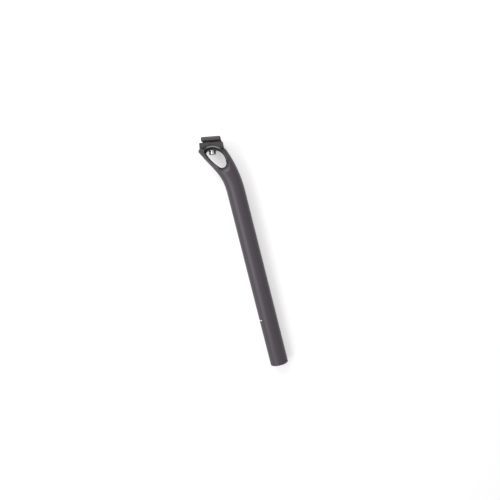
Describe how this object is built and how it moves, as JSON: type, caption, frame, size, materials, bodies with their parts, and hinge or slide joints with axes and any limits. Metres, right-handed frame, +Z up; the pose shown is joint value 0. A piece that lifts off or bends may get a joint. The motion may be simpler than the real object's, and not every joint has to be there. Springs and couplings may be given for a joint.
{
  "type": "bicycle seatpost",
  "caption": "Bicycle seatpost: a round hollow post whose head sweeps back into an open eye, with a one-bolt saddle clamp that rocks on the seat over the eye.",
  "frame": {"origin": "centre of the tube's lower end", "axes": "+Z up along the tube's axis to the head, +X forward on the bicycle, +Y to the rider's left"},
  "size_m": [0.0538, 0.054, 0.3579],
  "materials": {
    "carbon": "matt lacquered carbon fibre",
    "clamp_metal": "dark grey bead-blasted anodised",
    "bolt_steel": "satin stainless",
    "washer_metal": "dark grey anodised",
    "nut_metal": "dark grey anodised"
  },
  "bodies": {
    "post": {"post": "carbon"},
    "clamp": {"lower_cradle": "clamp_metal", "upper_cradle": "clamp_metal", "clamp_bolt": "bolt_steel", "rocker_washer": "washer_metal", "clamp_nut": "nut_metal"}
  },
  "joints": [
    {"name": "saddle_tilt", "type": "hinge", "parent": "post", "child": "clamp", "pos_m": [-0.0222, 0, 0.3224], "axis": [0, 1, 0], "range_deg": [-5.5, 18.5]}
  ]
}
